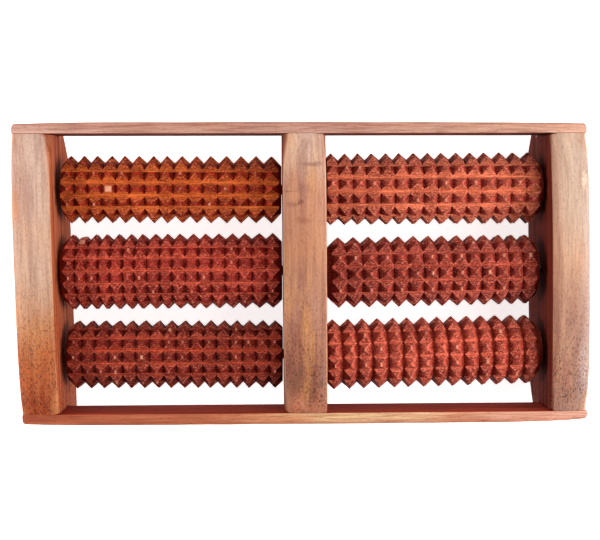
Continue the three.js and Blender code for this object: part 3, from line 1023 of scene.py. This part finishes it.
def roller_material(roller):
    """Stained roller: dark where cuts cross the grain, specked all over; painted highlight in its grooves and
    edges, painted shade in its rings.
    """
    look = ROLLER_LOOKS[roller]
    shader = Shader("roller_wood_" + roller)
    cross = shader.range(shader.mark("end_grain").outputs["Fac"], 0.2, 0.6)
    depth, crease, tip = shader.channels("marks")
    tone = shader.mark("stud_tone").outputs["Fac"]
    grain = shader.streaks((150, 1100, 1100), detail=4, distortion=0.3)
    speck = shader.streaks((1000, 1500, 1500), detail=3, roughness=0.65)
    stain = shader.streaks((26, 60, 60), detail=2)
    # Lengthwise facets are painted brighter towards their foot and brightest at the groove bottoms, broken by
    # the grain: painted highlight.
    lengthwise = shader.mix(shader.range(depth, 0.1, 0.7), look["flank"], look["groove"])
    seam_highlight = shader.range(depth, 0.75, 1.0, 0.0, 0.8)
    broken_seam_highlight = shader.math("MULTIPLY", seam_highlight, shader.range(grain, 0.3, 0.6, 1.0, 0.5))
    lengthwise = shader.mix(broken_seam_highlight, lengthwise, look["seam_highlight"])
    # Cross-grain facets are darker end grain, and painted darker still low in the rings: painted shade.
    across = shader.mix(shader.range(depth, 0.05, 0.5), look["cross"], look["deep_shade"])
    colour = shader.mix(cross, lengthwise, across)
    colour = shader.layer(colour, grain, 0.43, 0.6, 0.6, tint(150, 84, 70), "MULTIPLY")
    colour = shader.layer(colour, tone, 0, 1, 0.5, tint(160, 100, 88), "MULTIPLY")
    colour = shader.layer(colour, stain, 0.4, 0.65, 0.5, tint(170, 110, 96), "MULTIPLY")
    colour = shader.layer(colour, speck, 0.46, 0.34, 0.6, tint(124, 54, 46), "MULTIPLY")
    pale = shader.range(speck, 0.53, 0.62, 0.0, 0.65)
    fewer_across = shader.range(cross, 0, 1, 1.0, 0.5)
    colour = shader.mix(shader.math("MULTIPLY", pale, fewer_across), colour, look["speck"])
    # Pale lines along the studs' corner edges: partly rubbed wood, partly painted highlight.
    edge_wear_and_highlight = shader.range(crease, 0.86, 1.0, 0.0, 0.65)
    broken_edge_wear_and_highlight = shader.math("MULTIPLY", edge_wear_and_highlight, shader.range(speck, 0.4, 0.56))
    colour = shader.mix(broken_edge_wear_and_highlight, colour, look["speck"])
    colour = shader.layer(colour, tip, 0.3, 1.0, 0.85, tint(212, 146, 116))
    shader.bump(shader.math("ADD", grain, speck), 0.9, 0.2 * MM)
    roughness = shader.range(speck, 0.3, 0.7, 0.45, 0.7)
    return shader.finish(colour, roughness, specular=shader.range(cross, 0, 1, 0.2, 0.06))


def steel_material(name, colour):
    """Drawn steel wire, a little darker in streaks."""
    shader = Shader(name)
    drawn = shader.streaks((90, 1500, 1500), detail=3)
    tinted = shader.layer(colour, drawn, 0.3, 0.7, 0.35, tint(120, 116, 112))
    shader.bump(drawn, 0.15, 0.05 * MM)
    return shader.finish(tinted, shader.range(drawn, 0.3, 0.7, 0.28, 0.45), metallic=1.0)


# ---------------------------------------------------------------- studio

CAMERA_PLACE = (-0.01409, 0.03902, 0.56693)
CAMERA_TURN = (-4.03, -1.36, -0.17)
CAMERA_LENS = 64.03

# Soft lights round the object, as (name, place, (width, height), watts).
LIGHTS = (
    ("left_light", (-0.38, 0.0, 0.15), (0.24, 0.24), 2.05),
    ("right_light", (0.38, 0.0, 0.15), (0.24, 0.24), 2.4),
    ("high_right_light", (0.55, 0.0, 0.65), (0.4, 0.4), 4.0),
    ("high_back_light", (0.0, 0.55, 0.75), (0.8, 0.4), 2.0),
    ("low_back_light", (0.0, 0.60, 0.25), (0.8, 0.2), 1.0),
    ("front_right_light", (0.35, -0.60, 0.30), (0.3, 0.3), 1.5),
)
WORLD_STRENGTH = 0.02
WALL_GLOW = 0.8
WALL_TOP = (0.15, 0.3)  # where the wall fades out, as the sine of the angle above the floor
FLOOR_GLOW = 0.79
FLOOR_HALF = 12.0
FLOOR_GAP = 0.1 * MM


def add_camera():
    data = bpy.data.cameras.new("camera")
    data.sensor_width = 36
    data.lens = CAMERA_LENS
    camera = bpy.data.objects.new("camera", data)
    camera.location = CAMERA_PLACE
    camera.rotation_euler = [math.radians(a) for a in CAMERA_TURN]
    bpy.context.scene.collection.objects.link(camera)
    bpy.context.scene.camera = camera


def add_lights():
    for name, place, size, watts in LIGHTS:
        data = bpy.data.lights.new(name, "AREA")
        data.shape = "RECTANGLE"
        data.size, data.size_y = size
        data.energy = watts
        light = bpy.data.objects.new(name, data)
        light.location = place
        light.rotation_euler = (-Vector(place)).to_track_quat("-Z", "Y").to_euler()
        bpy.context.scene.collection.objects.link(light)


def add_surroundings():
    """A dim studio, with a pale wall that rises a little above the floor's far edge."""
    world = bpy.data.worlds.new("studio")
    world.use_nodes = True
    nodes, links = world.node_tree.nodes, world.node_tree.links
    height = nodes.new("ShaderNodeSeparateXYZ")
    links.new(nodes.new("ShaderNodeTexCoord").outputs["Generated"], height.inputs[0])
    wall = nodes.new("ShaderNodeMapRange")
    links.new(height.outputs["Z"], wall.inputs["Value"])
    wall.inputs["From Min"].default_value, wall.inputs["From Max"].default_value = WALL_TOP
    wall.inputs["To Min"].default_value, wall.inputs["To Max"].default_value = WALL_GLOW, WORLD_STRENGTH
    links.new(wall.outputs["Result"], nodes["Background"].inputs["Strength"])
    nodes["Background"].inputs["Color"].default_value = (1, 1, 1, 1)
    bpy.context.scene.world = world


def add_floor():
    """A pale floor that glows a little, so that it stays almost white between the rollers."""
    half, z = FLOOR_HALF, -FLOOR_GAP
    corners = [(-half, -half, z), (half, -half, z), (half, half, z), (-half, half, z)]
    floor = make_object("floor", corners, [(0, 1, 2, 3)])
    shader = Shader("floor")
    shader.put(shader.surface.inputs["Emission Color"], (1, 1, 1))
    shader.put(shader.surface.inputs["Emission Strength"], FLOOR_GLOW)
    mottle = shader.streaks((3, 3, 3), detail=2)
    floor.data.materials.append(shader.finish(shader.ramp(mottle, [(0, (0.8,) * 3), (1, (0.84,) * 3)]), 0.9))


# ---------------------------------------------------------------- the whole object

LAYOUTS = {name: roller_layout(name) for name in ROLLERS}

# The look of each board. "along" runs from the front end to the back one, "left" and "right" are a share and
# a colour at those edges of the top, "outside" is the share of the way across where the outer face is and its
# colour, and "marks" are knots and stains as (centre, size, share, colour), the first two in millimetres.
BOARD_LOOKS = {
    "left_end_board": {
        "along": [(0.06, tint(148, 68, 30)), (0.2, tint(160, 86, 41)), (0.3, tint(168, 112, 73)),
                  (0.42, tint(177, 139, 114)), (0.5, tint(182, 150, 128)), (1.0, tint(189, 160, 144))],
        "left": (0.3, tint(166, 106, 78)),
        "right": (0.25, tint(182, 126, 88)),
        "band": tint(206, 186, 186),
        "amber": (0.22, tint(206, 146, 96)),
        "side": [(0.32, tint(110, 44, 24)), (0.5, tint(158, 79, 47)), (0.68, tint(156, 93, 69))],
        "outside": (0.0, tint(138, 84, 58)),
        "edge": tint(206, 136, 80),
        "lean": 12,
        "marks": [
            ((-126.1, -26.4), (1.6, 0.5), 0.6, tint(92, 50, 34)),
            ((-135.6, 42), (3.5, 14), 0.4, tint(150, 104, 88)),
            ((-138.6, 34), (1.6, 10), 0.5, tint(196, 126, 78)),
            ((-132.7, -61.4), (2.2, 3.0), 0.5, tint(110, 48, 26)),
        ],
    },
    "centre_board": {
        "along": [(0.04, tint(164, 93, 65)), (0.16, tint(127, 80, 62)), (0.27, tint(146, 94, 72)),
                  (0.42, tint(164, 117, 97)), (0.6, tint(180, 125, 92)), (0.8, tint(176, 124, 100)),
                  (0.95, tint(201, 171, 152))],
        "left": (0.3, tint(140, 92, 70)),
        "right": (0.4, tint(190, 136, 106)),
        "band": tint(196, 172, 170),
        "amber": (0.5, tint(206, 148, 88)),
        "side": [(0.32, tint(60, 16, 12)), (0.5, tint(110, 40, 26)), (0.68, tint(96, 44, 34))],
        "outside": None,
        "edge": tint(196, 140, 106),
        "lean": 5,
        "marks": [
            ((4, 53.8), (7, 1.4), 0.55, tint(112, 74, 64)),
            ((0, 42), (5, 2.4), 0.3, tint(130, 92, 80)),
            ((-7, 40.7), (4, 0.5), 0.6, tint(120, 72, 48)),
            ((-1.5, 35.4), (1.6, 1.6), 0.7, tint(104, 58, 46)),
            ((-5.6, 34.4), (4, 1.6), 0.45, tint(124, 80, 64)),
            ((-0.5, 26.6), (4.5, 2.2), 0.45, tint(132, 72, 48)),
            ((5, 2), (1.2, 16), 0.35, tint(128, 84, 66)),
            ((-9, -55), (1.8, 16), 0.6, tint(92, 62, 54)),
            ((-3, -51), (3.4, 9), 0.55, tint(104, 66, 50)),
            ((9, -50), (2, 16), 0.35, tint(142, 110, 104)),
            ((-2, -63), (3.2, 7), 0.5, tint(196, 126, 92)),
        ],
    },
    "right_end_board": {
        "along": [(0.06, tint(121, 88, 78)), (0.25, tint(125, 89, 74)), (0.4, tint(145, 105, 84)),
                  (0.5, tint(164, 126, 101)), (0.7, tint(168, 142, 121)), (1.0, tint(174, 151, 132))],
        "left": (0.6, tint(142, 88, 61)),
        "right": (0.6, tint(158, 138, 129)),
        "band": tint(212, 194, 190),
        "amber": (0.22, tint(206, 160, 120)),
        "side": [(0.32, tint(56, 14, 10)), (0.5, tint(104, 34, 22)), (0.68, tint(92, 44, 32))],
        "outside": (1.0, tint(122, 74, 56)),
        "edge": tint(196, 140, 106),
        "lean": 2,
        "marks": [
            ((123.5, -22), (1.6, 12), 0.5, tint(126, 84, 70)),
            ((129, -48), (4, 12), 0.45, tint(132, 84, 66)),
            ((136.5, 46), (1.4, 5), 0.5, tint(226, 196, 170)),
            ((137.5, -45), (2.5, 16), 0.4, tint(178, 160, 158)),
        ],
    },
}

RAIL_LOOKS = {
    "back_rail": {
        "along": [(0.0, tint(190, 150, 134)), (0.3, tint(178, 132, 114)), (0.55, tint(180, 136, 120)),
                  (0.8, tint(178, 136, 114)), (1.0, tint(182, 138, 116))],
        "outer": tint(176, 114, 88),
        "band": tint(196, 168, 160),
        "side": [(0.35, tint(84, 26, 18)), (0.65, tint(128, 50, 32))],
        "outside": tint(128, 78, 58),
        "edge": tint(180, 110, 80),
        "lean": -8,
    },
    "front_rail": {
        "along": [(0.0, tint(150, 74, 44)), (0.2, tint(166, 90, 60)), (0.36, tint(174, 100, 68)),
                  (0.46, tint(190, 130, 92)), (0.53, tint(208, 172, 128)), (0.68, tint(204, 164, 126)),
                  (0.74, tint(186, 128, 96)), (1.0, tint(190, 142, 122))],
        "outer": tint(170, 98, 66),
        "band": tint(206, 170, 150),
        "side": [(0.35, tint(128, 38, 22)), (0.65, tint(160, 58, 36))],
        "outside": tint(136, 78, 50),
        "edge": tint(180, 104, 66),
        "lean": -14,
    },
}

# The colours of each roller: the flanks of its studs along the grain, the foot of those flanks and the bottom
# of the lengthwise grooves (both painted highlight), the facets across the grain, those facets low in the
# rings (painted shade), and the pale specks, also painted as highlight along the studs' edges.
ROLLER_LOOKS = {
    "left_back": {
        "flank": tint(146, 44, 22), "groove": tint(255, 138, 54), "seam_highlight": tint(255, 184, 104),
        "cross": tint(170, 42, 27), "deep_shade": tint(138, 29, 16), "speck": tint(244, 122, 68),
    },
    "left_middle": {
        "flank": tint(136, 42, 32), "groove": tint(218, 88, 60), "seam_highlight": tint(255, 150, 106),
        "cross": tint(162, 42, 34), "deep_shade": tint(124, 25, 18), "speck": tint(230, 112, 88),
    },
    "left_front": {
        "flank": tint(114, 34, 22), "groove": tint(192, 68, 40), "seam_highlight": tint(240, 120, 80),
        "cross": tint(128, 27, 20), "deep_shade": tint(98, 16, 12), "speck": tint(206, 106, 80),
    },
    "right_back": {
        "flank": tint(156, 68, 52), "groove": tint(250, 136, 92), "seam_highlight": tint(255, 186, 138),
        "cross": tint(188, 82, 68), "deep_shade": tint(150, 44, 35), "speck": tint(244, 144, 110),
    },
    "right_middle": {
        "flank": tint(134, 52, 40), "groove": tint(202, 86, 62), "seam_highlight": tint(255, 146, 108),
        "cross": tint(184, 76, 62), "deep_shade": tint(128, 31, 23), "speck": tint(230, 122, 98),
    },
    "right_front": {
        "flank": tint(154, 60, 46), "groove": tint(226, 102, 74), "seam_highlight": tint(255, 148, 112),
        "cross": tint(208, 98, 78), "deep_shade": tint(170, 60, 44), "speck": tint(242, 134, 106),
    },
}

add_camera()
add_lights()
add_surroundings()
add_floor()
for seed, board in enumerate(BOARDS):
    make_board(board, board_material(board, 3.1 * seed))
for rail in RAILS:
    make_rail(rail, rail_material(rail))
rod_steel = steel_material("rod_steel", tint(96, 94, 92))
nail_steel = steel_material("nail_steel", tint(150, 150, 152))
for roller in ROLLERS:
    make_rod(roller, rod_steel)
    make_roller(roller, roller_material(roller))
for nail in NAILS:
    make_nail(nail, nail_steel)

bpy.context.scene.view_settings.view_transform = "Standard"

bpy.context.view_layer.update()
